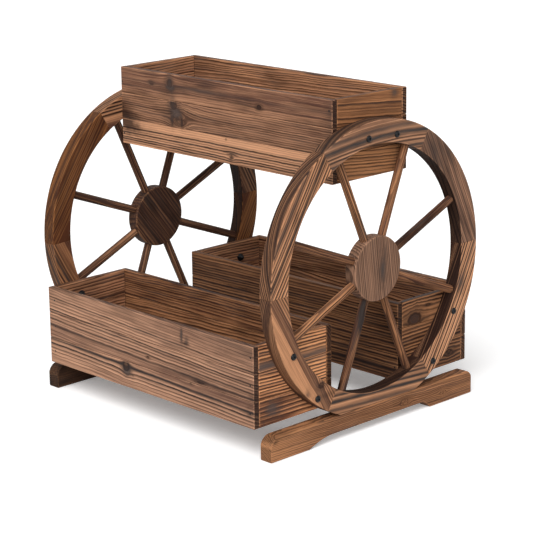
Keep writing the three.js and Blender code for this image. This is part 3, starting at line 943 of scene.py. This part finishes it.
# Charts of the near wheel's felloes, from the one that starts level at the back and goes up.
FELLOE_CHARTS = [
    dict(
        span=(-72, 26), tilt=-1.2, bend=0.0, slope=(0.1, 0.0), look=(0.3, 0.5, 0.5, 0.25),
        tone=[
            (-72, 0.1), (-62, 0.28), (-14, 0.3), (2, 0.3), (5, 0.42), (14, 0.42), (18, 0.3),
            (26, 0.25),
        ],
        rings=[
            (21, 0.8, 0.5, 0.4), (17, 0.5, 0.45), (13, 0.5, 0.4), (8.5, 0.6, 0.5),
            (4.5, 0.6, 0.55), (0.5, 1.6, 0.6, 0.7), (-4, 0.6, 0.5, 0.1), (-9, 0.6, 0.5),
            (-13, 1.2, 0.6, 0.5), (-17, 0.6, 0.45), (-21, 0.6, 0.45), (-25, 1.4, 0.55, 0.7),
            (-30, 0.7, 0.45), (-34, 0.8, 0.5, 0.3), (-39, 1.2, 0.5, 0.7), (-44, 0.7, 0.4),
            (-50, 1.2, 0.5, 0.3),
        ],
        rays=[(-7, 1.2, 0.3), (10.5, 1.0, 0.2), (-28, 1.2, 0.15)],
    ),
    dict(
        span=(-72, 26), bold=1.12, tilt=-1.2, bend=0.00045, slope=(-0.027, 0.0),
        look=(0.4, 0.25, 0.5, 0.35),
        tone=[(-72, 0.1), (-62, 0.46), (-38, 0.5), (-14, 0.56), (8, 0.46), (26, 0.38)],
        rings=[
            (19, 0.5, 0.3), (15, 0.5, 0.35), (11.5, 0.6, 0.4), (4, 4.0, 0.66, 1.0),
            (-9.5, 3.6, 0.86, 1.0), (-14.5, 0.5, 0.3), (-20, 0.9, 0.75, 0.2),
            (-26.5, 1.3, 0.85, 0.5), (-31, 0.5, 0.4), (-36, 2.4, 0.8, 1.0), (-42, 1.0, 0.7, 0.2),
            (-48, 1.2, 0.7, 0.2),
        ],
        rays=[(-2.8, 1.6, 0.12), (-17, 1.6, 0.15), (-23, 0.7, 0.45), (-32, 1.4, 0.12)],
    ),
    dict(
        span=(-72, 30), bold=1.2, tilt=-1.4, bend=0.0, slope=(0.05, 0.0),
        look=(0.4, 0.3, 0.5, 0.45),
        tone=[
            (-72, 0.1), (-62, 0.72), (-8, 0.74), (3, 0.62), (8, 0.4), (18, 0.46), (22, 0.75),
            (30, 0.5),
        ],
        rings=[
            (17, 0.8, 0.6, 0.3), (12.5, 1.6, 0.75, 0.8), (8.5, 1.3, 0.75, 0.6), (4.5, 0.8, 0.6),
            (-1.5, 1.2, 0.85, 0.1), (-6.5, 1.1, 0.8, 0.1), (-11.5, 0.9, 0.8), (-15, 1.8, 0.9, 0.4),
            (-21, 1.0, 0.85), (-24.5, 0.7, 0.6), (-30, 1.2, 0.9, 0.2), (-36.5, 1.0, 0.85),
            (-43, 1.2, 0.85), (-50, 1.0, 0.85),
        ],
        rays=[(1.5, 1.3, 0.1), (-9, 1.2, 0.1)],
    ),
    dict(
        span=(-72, 26), bold=1.1, tilt=-1.3, bend=0.0, slope=(0.0, 0.0),
        look=(0.22, 0.05, 0.5, 0.12),
        tone=[
            (-72, 0.1), (-62, 0.5), (-29, 0.55), (-27, 0.22), (-9, 0.22), (-7, 0.7), (-2, 0.84),
            (12, 0.86), (20, 0.74), (26, 0.6),
        ],
        rings=[
            (16, 0.8, 0.14), (10, 0.6, 0.12), (4, 0.8, 0.12), (-5.2, 0.5, 0.2),
            (-9, 0.8, 0.4, 0.2), (-13, 2.5, 0.25, 0.5), (-20, 3.0, 0.3, 0.6), (-26, 1.0, 0.6, 0.2),
            (-31.5, 0.9, 0.6), (-36.5, 1.0, 0.75), (-42, 1.0, 0.8), (-48, 1.0, 0.7),
        ],
    ),
    dict(
        span=(-72, 30), bold=1.1, tilt=-1.3, bend=0.0, slope=(0.075, 0.0),
        look=(0.4, 0.15, 0.5, 0.3),
        tone=[(-72, 0.1), (-62, 0.52), (-24, 0.58), (-6, 0.62), (2, 0.52), (30, 0.48)],
        rings=[
            (24, 0.6, 0.35), (18, 0.5, 0.35), (13, 0.6, 0.4), (9, 0.5, 0.4), (5, 0.9, 0.6),
            (-3.5, 2.8, 0.75, 0.9), (-11, 0.5, 0.2), (-18.5, 2.8, 0.95, 0.8), (-24.5, 0.5, 0.25),
            (-30, 2.2, 0.9, 0.7), (-36, 0.5, 0.3), (-40.5, 1.8, 0.9, 0.5), (-47, 1.4, 0.8, 0.2),
            (-54, 1.4, 0.8, 0.2),
        ],
        rays=[(-9.5, 2.2, 0.12), (-23, 1.8, 0.12)],
    ),
    dict(
        span=(-72, 30), bold=1.5, tilt=-1.2, bend=0.0003, slope=(0.01, 0.0),
        look=(0.3, 0.1, 0.5, 0.2),
        tone=[(-72, 0.1), (-62, 0.92), (-20, 0.96), (30, 0.96)],
        rings=[
            (22.5, 0.5, 0.6), (18.5, 0.5, 0.7), (13.5, 0.9, 0.95), (9.5, 0.4, 0.5), (4, 0.9, 0.95),
            (-0.5, 0.5, 0.6), (-6, 1.1, 1.0, 0.1), (-12.5, 0.6, 0.7), (-16.5, 1.3, 1.0, 0.1),
            (-23.5, 0.9, 0.9), (-28, 0.5, 0.6), (-33, 1.2, 0.95, 0.1), (-40, 1.2, 0.9, 0.1),
            (-46, 0.9, 0.9), (-53, 1.2, 0.9),
        ],
    ),
]

# Saturation and brightness of each felloe. The far (left) wheel's felloes are darker as painted
# shade of the stand over them.
FELLOE_TINTS_AND_SHADE = {
    "right": [(0.9, 0.84), (0.95, 1.0), (1.0, 1.3), (1.0, 1.02), (0.98, 0.95), (0.98, 1.25)],
    "left": [(1.0, 0.62), (1.0, 0.95), (1.15, 0.7), (1.05, 0.85), (1.05, 0.85), (1.15, 0.75)],
}

# Knots and stains of the near wheel's felloes, in the plane of the wheel.
FELLOE_KNOTS = {
    4: [(-142.5, 113, 6.0, 1.2, 0.8)],
}
FELLOE_STAINS = {
    1: [(160, 490, 50, 50, 0.55, 0.6)],
    3: [(-200, 410, 9, 30, 0.5, 0.2)],
    4: [(-177, 103, 7, 9, 0.9, 0.7), (-128, 92, 30, 5, 0.5, 0.0)],
    6: [(231, 226, 14, 20, 1.0, 0.5)],
}

# How the two wheels differ: where the felloes' charts start, their warmth, the painted shade
# on their inner and outer sides, and the dowels' warmth and tints.
CHART_STARTS = {"right": 0, "left": 4}
# The far (left) rim's lower warmth is painted shade.
RIM_WARMTH_AND_SHADE = {"right": 0.0, "left": -0.12}
RIM_SIDE_SHADE = {"right": (1.4, 0.85), "left": (1.4, 0.3)}
# The far (left) wheel's dowels are less warm and darker as painted shade.
SPOKE_WARMTH_AND_SHADE = {"right": 1.0, "left": 0.4}
SPOKE_TINTS_AND_SHADE = {"right": (1.04, 0.85), "left": (1.0, 0.6)}

HUB_EASE = 2.0  # rounding of a hub's edges
# The far (left) hub's full char and low brightness stand partly for char, partly for painted shade
# of the top box over it.
HUB_LOOKS = {"right": (0.24, 0.3, 0.45, 0.75), "left": (0.16, 1.0, 0.05, 0.7)}
HUB_TINTS_AND_SHADE = {"right": (0.88, 0.68), "left": (1.0, 0.45)}
HUB_GRAIN = {"right": math.radians(97), "left": math.radians(128)}
HUB_STAINS = [(18, 292, 9, 26, 1.1, 0.9), (25, 325, 6, 20, 0.5, 0.8)]  # on the near hub

# Charring, warmth and contrast of the dowels, from the one that points back and up.
SPOKE_LOOKS = [
    (1.0, 0.12, 1.0),
    (0.2, 0.34, 0.6),
    (0.6, 0.46, 1.0),
    (0.9, 0.18, 0.9),
    (0.3, 0.55, 1.0),
    (1.6, 0.2, 0.9),
    (0.4, 0.3, 0.9),
    (0.4, 0.3, 0.6),
]


def wheel_place(settings, side):
    """Centre of a wheel, its outward direction, and how far its joints are turned."""
    centre = np.array([side * WHEEL["x"], WHEEL["y"], WHEEL["z"]])
    turn = settings.right_turn if side > 0 else settings.left_turn
    return centre, side * X, math.radians(turn)


def radial(angle):
    """Direction away from the wheel's axis at an angle from +Y towards +Z."""
    return np.cos(angle)[..., None] * Y + np.sin(angle)[..., None] * Z


def circle(count):
    """Even angles once round."""
    return np.linspace(0, 2 * np.pi, count, endpoint=False)


def felloe_shape(settings, place, inset, angle, centre, out, marks):
    """A stretch of the rim: its outer radius stays within the flat that rests on the foot."""
    middle = settings.radius - settings.rim / 2
    away = radial(angle)
    below = np.clip(-np.sin(angle), 1e-3, None)
    outer = np.minimum(settings.radius, WHEEL["seat"] / below)
    half = np.full_like(place, WHEEL["half"])
    lows = np.stack([np.full_like(place, -settings.rim / 2), -half], -1)
    highs = np.stack([outer - middle, half], -1)
    path = centre + away * middle
    # marks: painted shade on the rim's inner and outer sides
    return swept_bar(path, away, out, lows, highs, inset, settings.edge_radius, marks)


class FCS_OT_felloes(bpy.types.Operator):
    """Felloes of the two rims, the lowest cut flat where it sits on the foot"""

    bl_idname = "flower_cart.felloes"
    bl_label = "Felloes"

    def execute(self, context):
        settings = context.scene.flower_cart_wheels
        middle = settings.radius - settings.rim / 2
        share = 2 * math.pi / settings.felloes
        flat = math.acos(WHEEL["seat"] / settings.radius)
        for word, side in SIDES.items():
            centre, out, turn = wheel_place(settings, side)
            near = side > 0
            for i in range(settings.felloes):
                chart = FELLOE_CHARTS[(i + CHART_STARTS[word]) % len(FELLOE_CHARTS)]
                material = scorched_wood(
                    f"Scorched felloe {word} {i + 1}",
                    warp=1.7,
                    plane="yz",
                    knots=FELLOE_KNOTS.get(i + 1, ()) if near else (),
                    stains=FELLOE_STAINS.get(i + 1, ()) if near else (),
                    chart=chart,
                    tint=FELLOE_TINTS_AND_SHADE[word][i],
                )
                start = turn + share * i
                ends = [(1.5 * math.pi + s * flat - start) * middle for s in (-1, 1)]
                place, inset = stations(share * middle - settings.seam, 6.0, 0.5, ends)
                angle = start + (place + settings.seam / 2) / middle
                away = radial(start + share / 2)
                face = centre + away * middle + out * WHEEL["half"]
                cut = {
                    "shift": 613.0 * (i + 1) + 71.0 * side,
                    "slope": chart["slope"],
                    "bend": chart["bend"],
                }
                rings, char, warm, contrast = chart["look"]
                make_wood(
                    f"{word}_rim_felloe_{i + 1}",
                    felloe_shape(settings, place, inset, angle, centre, out, RIM_SIDE_SHADE[word]),
                    material,
                    "wheel_wood",
                    [f"{word}_felloe_{i + 1}"],
                    (face, np.cross(away, X), away, -out),
                    cut,
                    (rings, char, warm + RIM_WARMTH_AND_SHADE[word], contrast),
                )
        return {"FINISHED"}


def hub_shape(centre):
    """A disc turned round the axle, with rounded edges."""
    radius, half = WHEEL["hub_radius"] - HUB_EASE, WHEEL["hub_half"] - HUB_EASE
    turn = np.linspace(0, np.pi / 2, 5)
    edge = np.stack([half + HUB_EASE * np.cos(turn), radius + HUB_EASE * np.sin(turn)], -1)
    face = [[half + HUB_EASE, radius - 0.5]]
    profile = np.concatenate([face, edge, [[half - 0.5, radius + HUB_EASE]]])
    profile = np.concatenate([profile, (profile * (-1, 1))[::-1]])[::-1]
    angle = circle(128)
    worn = np.array([0, 1, 1, 1, 1, 1, 0])
    wear = np.repeat([*worn, *worn], len(angle))
    points, faces = turned(profile, angle, centre, X, Y, Z)
    return points, faces, edge_marks(wear, 0 * wear, 0 * wear, pole=0)


class FCS_OT_hubs(bpy.types.Operator):
    """Thick hub discs with rounded edges"""

    bl_idname = "flower_cart.hubs"
    bl_label = "Hubs"

    def execute(self, context):
        for word, side in SIDES.items():
            material = scorched_wood(
                f"Scorched hub {word}",
                line=(0.3, 0.85),
                warp=1.6,
                plane="yz",
                stains=HUB_STAINS if side > 0 else (),
                tint=HUB_TINTS_AND_SHADE[word],
            )
            centre, out, _ = wheel_place(context.scene.flower_cart_wheels, side)
            grain = HUB_GRAIN[word]
            face = centre + out * WHEEL["hub_half"]
            make_wood(
                f"{word}_hub_disc",
                hub_shape(centre),
                material,
                "wheel_wood",
                [f"{word}_hub"],
                (face, radial(grain), radial(grain - math.pi / 2), -out),
                {"heart": (-190, 30), "shift": 311.0 * side},
                HUB_LOOKS[word],
            )
        return {"FINISHED"}


class FCS_OT_spokes(bpy.types.Operator):
    """Dowel spokes, seated in the hub and the felloes"""

    bl_idname = "flower_cart.spokes"
    bl_label = "Spokes"

    def execute(self, context):
        settings = context.scene.flower_cart_wheels
        start = WHEEL["hub_radius"] - settings.socket
        end = settings.radius - settings.rim + settings.socket
        place = np.linspace(start, end, 30)
        ring = circle(28)
        for word, side in SIDES.items():
            material = scorched_wood(
                f"Scorched dowels {word}",
                line=(0.25, 0.85),
                warp=1.6,
                tint=SPOKE_TINTS_AND_SHADE[word],
                streaks=2.4,
            )
            centre, out, turn = wheel_place(settings, side)
            for i in range(settings.spokes):
                draw = np.random.default_rng(900 + 20 * side + i)
                angle = turn + 2 * math.pi * (i + 0.5) / settings.spokes
                away, sideways = radial(angle), radial(angle + math.pi / 2)
                size = settings.spoke / 2 - np.abs(wander(place, 0.12, 70 + 20 * side + i))
                third = np.cross(away, sideways)
                points, faces = turned(
                    list(zip(place, size)), ring, centre, away, sideways, third
                )
                cut = {
                    "heart": (draw.choice([-1, 1]) * draw.uniform(50, 80), draw.uniform(15, 45)),
                    "lean": (draw.uniform(-0.03, 0.03), draw.uniform(-0.03, 0.03)),
                    "shift": 449.0 * (i + 1) + 83.0 * side,
                }
                char, warm, contrast = SPOKE_LOOKS[i % len(SPOKE_LOOKS)]
                make_wood(
                    f"{word}_dowel_{i + 1}",
                    (points, faces, np.zeros_like(points)),
                    material,
                    "spoke_wood",
                    [f"{word}_spoke_{i + 1}"],
                    (centre + away * (start + end) / 2, away, sideways, -out),
                    cut,
                    (draw.uniform(0.28, 0.4), char, warm * SPOKE_WARMTH_AND_SHADE[word], contrast),
                )
        return {"FINISHED"}


# ---------------------------------------------------------------- feet

# Knots and stains of the near foot, by setback and height.
FOOT_KNOTS = [(185, 20, 5.0, 2.0, 0.12), (78, 27, 6.5, 2.4, 0.12), (-40, 14, 4.5, 2.6, 0.1)]
FOOT_STAINS = [
    (-259, 37, 7, 5, 0.9, 0.1),
    (-236, 43, 26, 3, 0.7, 0.0),
    (80, 36, 26, 6, 0.35, 0.0),
]
# The far (left) foot's full char, low warmth and low brightness are painted shade of the box over
# it, on top of its char.
FOOT_LOOKS = {"right": (0.38, 0.2, 0.42, 0.8), "left": (0.3, 1.0, -0.1, 0.3)}
FOOT_TINTS_AND_SHADE = {"right": (1.05, 0.79), "left": (1.0, 0.2)}
FOOT_HEARTS = {"right": (-60, 40), "left": (-70, 30)}
WARM_END = 150.0  # over this length a foot gets warmer towards its front
WARMER = 0.5


def foot_shape(settings, low, high, out):
    """A bar whose top drops in a quarter circle at each end. Underneath, a ramp leads from
    each pad up to the arch: steep first, then level."""
    length, height, half_width = high[1] - low[1], high[2], (high[0] - low[0]) / 2
    arch_start, arch_end = settings.front_pad, length - settings.back_pad
    drawn = [1 - np.cos(np.linspace(0, np.pi / 2, count)) for count in (9, 8)]
    extra = np.concatenate(
        [
            settings.front_round * drawn[0],
            length - settings.back_round * drawn[1],
            np.linspace(arch_start, arch_start + settings.front_ramp, 14),
            np.linspace(arch_end - settings.back_ramp, arch_end, 10),
        ]
    )
    place, inset = stations(length, 9.0, 1.2, extra)
    rise = np.clip((place - arch_start) / settings.front_ramp, 0, 1)
    fall = np.clip((arch_end - place) / settings.back_ramp, 0, 1)
    under = settings.arch * np.minimum(1 - (1 - rise) ** 1.9, 1 - (1 - fall) ** 1.9)
    top = height
    for ahead, radius in ((place, settings.front_round), (length - place, settings.back_round)):
        top = top - radius * (1 - np.sqrt(1 - np.clip(1 - ahead / radius, 0, 1) ** 2))
    half = np.full_like(place, half_width)
    lows, highs = np.stack([under, -half], -1), np.stack([top, half], -1)
    path = (low + high) / 2 * X + (low[1] + place)[:, None] * Y
    return swept_bar(path, Z, out, lows, highs, inset, settings.edge_radius)


class FCS_OT_feet(bpy.types.Operator):
    """Bar feet with rounded tops and an arch cut underneath"""

    bl_idname = "flower_cart.feet"
    bl_label = "Feet"

    def execute(self, context):
        for word, side in SIDES.items():
            near = side > 0
            material = scorched_wood(
                f"Stained foot {word}",
                line=(0.3, 0.9),
                warp=4.0,
                plane="yz",
                knots=FOOT_KNOTS if near else (),
                stains=FOOT_STAINS if near else (),
                tint=FOOT_TINTS_AND_SHADE[word],
                streaks=0.8,
                sawn=0.3,
            )
            low, high = node_box(f"{word}_foot")
            out = side * X
            points, faces, edge = foot_shape(context.scene.flower_cart_feet, low, high, out)
            face = np.array([high[0] if near else low[0], 0, high[2] / 2])
            cut = {
                "heart": FOOT_HEARTS[word],
                "lean": (-0.02 * side, 0.0),
                "shift": 207.0 * side,
            }
            look = np.tile(FOOT_LOOKS[word], (len(points), 1))
            look[:, 2] += WARMER * np.clip(1 - (points[:, 1] - low[1]) / WARM_END, 0, 1)
            make_wood(
                f"{word}_foot_bar",
                (points, faces, edge),
                material,
                "foot_wood",
                [f"{word}_foot"],
                (face, Y, Z, -out),
                cut,
                look,
            )
        return {"FINISHED"}


# ---------------------------------------------------------------- bolts and nails


def hexagon(angle, across_flats):
    """Radius of a hexagon at each angle."""
    step = np.pi / 3
    return across_flats / 2 / np.cos(np.mod(angle, step) - step / 2)


GRIT = 900.0  # waves per metre


def black_steel():
    """Blackened steel with a fine grit: the noise varies the gloss and the colour a little."""
    steel = bpy.context.scene.flower_cart_finish.steel
    g = Graph(bpy.data.materials.new("Black steel"))
    grit = g.noise(g.vector(*(way * GRIT for way in g.place())))
    colour = g.mix(grit, steel, tuple(2.2 * c for c in steel))
    g.shader(Base_Color=colour, Roughness=0.2 + grit * 0.2, Specular_IOR_Level=0.2)
    g.bump(grit, 0.0001, 0.2)
    return g.owner


def bolt_profile(settings, angle, grip):
    """A button-head bolt with its washer and nut, from its tip to the socket in its head:
    distances out from the rim's face, and the radius there."""
    shank, head, high = settings.bolt / 2, settings.head / 2, settings.head_height
    key, nut = hexagon(angle, settings.key), hexagon(angle, settings.nut)
    washer = settings.washer / 2
    washer_back = -grip - settings.washer_height
    nut_back = washer_back - settings.nut_height
    tip = nut_back - settings.thread
    side, bottom, lip = 0.7, high - settings.key_depth, high - 0.18
    rings = [
        (tip, shank * 0.75),
        (tip + 0.5, shank),
        (nut_back, shank),
        (nut_back, nut - 0.5),
        (nut_back + 0.4, nut),
        (washer_back, nut),
        (washer_back, washer - 0.1),
        (washer_back + 0.1, washer),
        (-grip, washer),
        (-grip, shank),
        (0.0, shank),
        (0.0, head - 0.2),
        (0.25, head),
        (side, head),
    ]
    for turn in np.linspace(0.12, 1, 9)[:-1] * np.pi / 2:
        radius = head * math.cos(turn) ** 0.8
        if radius > settings.key * 0.72:
            rings.append((side + (high - side) * math.sin(turn), radius))
    socket = [(high - 0.02, 1.12), (lip, 1.0), (lip - 0.4, 1.0), (bottom, 1.0), (bottom, 0.9)]
    return rings + [(x, key * share) for x, share in (*socket, (bottom - 0.2, 0.5))]


class FCS_OT_bolts(bpy.types.Operator):
    """Black button-head bolts with washers and nuts"""

    bl_idname = "flower_cart.bolts"
    bl_label = "Bolts"

    def execute(self, context):
        material = black_steel()
        rim_face = WHEEL["x"] + WHEEL["half"]
        inside = node_box("top_box_right_end")[0][0]
        angle = circle(48)
        profile = bolt_profile(context.scene.flower_cart_fasteners, angle, rim_face - inside)
        for box_name in BOX_NAMES:
            for word, side in SIDES.items():
                for i in (1, 2):
                    node = f"{box_name}_{word}_bolt_{i}"
                    low, high = node_box(node)
                    _, y, z = (low + high) / 2
                    turn = np.random.default_rng(int(abs(y * 7 + z))).uniform(0, 1)
                    origin = np.array([side * rim_face, y, z])
                    shape = turned(profile, angle + turn * side, origin, side * X, side * Y, Z)
                    name = f"{box_name}_{word}_button_bolt_{i}"
                    make_piece(name, *shape, material, "bolt_steel", [node])
        return {"FINISHED"}


# Places of nails across and up, in millimetres: the left and the right end of the lowest
# plank, of the middle one and of the top one.
NAIL_PLACES = {
    "front_box_front_wall": [
        (-268.5, 82.3), (273, 85.7), (-265.8, 132), (274.5, 137), (-265.4, 184), (275.8, 187.8),
    ],
    "top_box_front_wall": [
        (-278, 479), (276, 484), (-279.5, 530), (275, 536), (-279.5, 580), (275.6, 589.7),
    ],
}


def nail_profile(radius):
    """A nail's head, level with the untouched wood, and its hidden shank."""
    shank = [(-3.0, 0.5), (-0.7, 0.8)]
    head = [(-0.5, 0.92), (-0.12, 1.0), (-0.03, 0.9), (-0.02, 0.45)]
    return shank + [(x, radius * share) for x, share in head]


class FCS_OT_nails(bpy.types.Operator):
    """Nails at the ends of the long walls' planks"""

    bl_idname = "flower_cart.nails"
    bl_label = "Nails"

    def execute(self, context):
        settings = context.scene.flower_cart_fasteners
        material = black_steel()
        angle = circle(20)
        profile = nail_profile(settings.nail / 2)
        for box_name in BOX_NAMES:
            for panel, facing in (("front_wall", -1), ("back_wall", 1)):
                name, planks = panel_planks(box_name, panel)
                draw = np.random.default_rng(len(name) + facing)
                places = iter(NAIL_PLACES.get(name, ()))
                points, faces, count = [], [], 0
                for centre, along, across, out, length, _, thick in planks:
                    for end in (-1, 1):
                        spot = centre + along * end * (length / 2 - settings.nail_inset)
                        spot = spot + out * thick / 2 + across * draw.uniform(-3, 3)
                        spot[[0, 2]] = next(places, spot[[0, 2]])
                        one, quads = turned(profile, angle, spot, out, along * -facing, across)
                        points.append(one)
                        faces += [[corner + count for corner in face] for face in quads]
                        count += len(one)
                make_piece(f"{name}_nails", np.concatenate(points), faces, material, "bolt_steel")
        return {"FINISHED"}


# ---------------------------------------------------------------- stage

# The camera's place in metres, and its heading, downward tilt and roll in degrees.
CAMERA_PLACE = (2.5718, -2.4505, 1.1950)
HEADING, DOWN, ROLL = 46.07, 14.981, -0.791
FLOOR_REACH = 20.0
FLOOR_DROP = 0.0003
FLOOR_GREY = (0.6, 0.6, 0.6)  # what the floor throws back on the stand
FLOOR_GLOW = 0.22
# Where each lamp stands, its setting and the spread of its light in degrees.
LAMPS = {
    "Key": ((0.4, -0.7, 0.85), "key", 40),
    "Fill": ((0.85, -0.45, 0.28), "fill", 40),
    "Back": ((-0.6, 0.75, 0.5), "back", 60),
}


def seen_ray(g):
    """1 for rays that see the background: from the camera, a gloss or a clear piece."""
    rays = g.node("ShaderNodeLightPath").outputs
    kinds = ("Camera", "Glossy", "Transmission")
    camera, gloss, clear = (Signal(g, rays[f"Is {kind} Ray"]) for kind in kinds)
    return g.larger(g.larger(camera, gloss), clear)


def add_object(name, data):
    """An object of the stage, at the origin."""
    made = bpy.data.objects.new(name, data)
    bpy.context.scene.collection.objects.link(made)
    return made


class FCS_OT_stage(bpy.types.Operator):
    """White floor, soft lamps, white surroundings and the camera"""

    bl_idname = "flower_cart.stage"
    bl_label = "Stage"

    def execute(self, context):
        scene = context.scene
        settings = scene.flower_cart_stage
        scene.view_settings.view_transform = "Standard"

        data = bpy.data.cameras.new("Camera")
        data.lens, data.sensor_width, data.clip_end = settings.lens, 36.0, 100.0
        scene.camera = add_object("Camera", data)
        aim = Euler((math.radians(90 - DOWN), 0, math.radians(HEADING))).to_matrix()
        aim = aim @ Matrix.Rotation(math.radians(ROLL), 3, "Z")
        scene.camera.matrix_world = Matrix.Translation(CAMERA_PLACE) @ aim.to_4x4()

        mesh = bpy.data.meshes.new("Floor")
        corners = [(-1, -1), (1, -1), (1, 1), (-1, 1)]
        corners = [(x * FLOOR_REACH, y * FLOOR_REACH, -FLOOR_DROP) for x, y in corners]
        mesh.from_pydata(corners, [], [(0, 1, 2, 3)])
        g = Graph(bpy.data.materials.new("White floor"))
        seen = seen_ray(g)
        g.shader(
            Base_Color=g.mix(seen, FLOOR_GREY, (1.0, 1.0, 1.0)),
            Roughness=0.9,
            Specular_IOR_Level=0.0,
            Emission_Color=(1, 1, 1, 1),
            Emission_Strength=seen * FLOOR_GLOW,
        )
        mesh.materials.append(g.owner)
        add_object("Floor", mesh)

        for name, (direction, setting, spread) in LAMPS.items():
            data = bpy.data.lights.new(name, "SUN")
            data.energy, data.angle = getattr(settings, setting), math.radians(spread)
            lamp = add_object(name, data)
            lamp.rotation_euler = Vector(direction).to_track_quat("Z", "Y").to_euler()

        scene.world = bpy.data.worlds.new("Surroundings")
        g = Graph(scene.world)
        back = g.tree.nodes["Background"].inputs
        g.feed(back["Strength"], settings.sky + seen_ray(g) * (1.0 - settings.sky))
        g.feed(back["Color"], (1, 1, 1, 1))
        return {"FINISHED"}


# ---------------------------------------------------------------- add-on


class FCS_PT_panel(bpy.types.Panel):
    """Builds the stand piece by piece"""

    bl_idname = "FCS_PT_panel"
    bl_label = "Flower Cart Stand"
    bl_space_type = "VIEW_3D"
    bl_region_type = "UI"
    bl_category = "Flower Cart"

    def draw(self, context):
        for operator in OPERATORS:
            self.layout.operator(operator.bl_idname)
        for group in SETTINGS:
            settings = getattr(context.scene, group)
            for key in settings.bl_rna.properties.keys():
                if key not in ("rna_type", "name"):
                    self.layout.prop(settings, key)


SETTINGS = {
    "flower_cart_planks": PlankSettings,
    "flower_cart_wheels": WheelSettings,
    "flower_cart_feet": FootSettings,
    "flower_cart_fasteners": FastenerSettings,
    "flower_cart_finish": FinishSettings,
    "flower_cart_stage": StageSettings,
}
OPERATORS = (
    FCS_OT_planks,
    FCS_OT_felloes,
    FCS_OT_hubs,
    FCS_OT_spokes,
    FCS_OT_feet,
    FCS_OT_bolts,
    FCS_OT_nails,
    FCS_OT_stage,
)
CLASSES = (*SETTINGS.values(), *OPERATORS, FCS_PT_panel)


def register():
    for kind in CLASSES:
        bpy.utils.register_class(kind)
    for name, group in SETTINGS.items():
        setattr(bpy.types.Scene, name, PointerProperty(type=group))


def unregister():
    for name in SETTINGS:
        delattr(bpy.types.Scene, name)
    for kind in reversed(CLASSES):
        bpy.utils.unregister_class(kind)


def main():
    register()
    bpy.ops.flower_cart.planks()
    bpy.ops.flower_cart.felloes()
    bpy.ops.flower_cart.hubs()
    bpy.ops.flower_cart.spokes()
    bpy.ops.flower_cart.feet()
    bpy.ops.flower_cart.bolts()
    bpy.ops.flower_cart.nails()
    bpy.ops.flower_cart.stage()


if __name__ == "__main__":
    main()
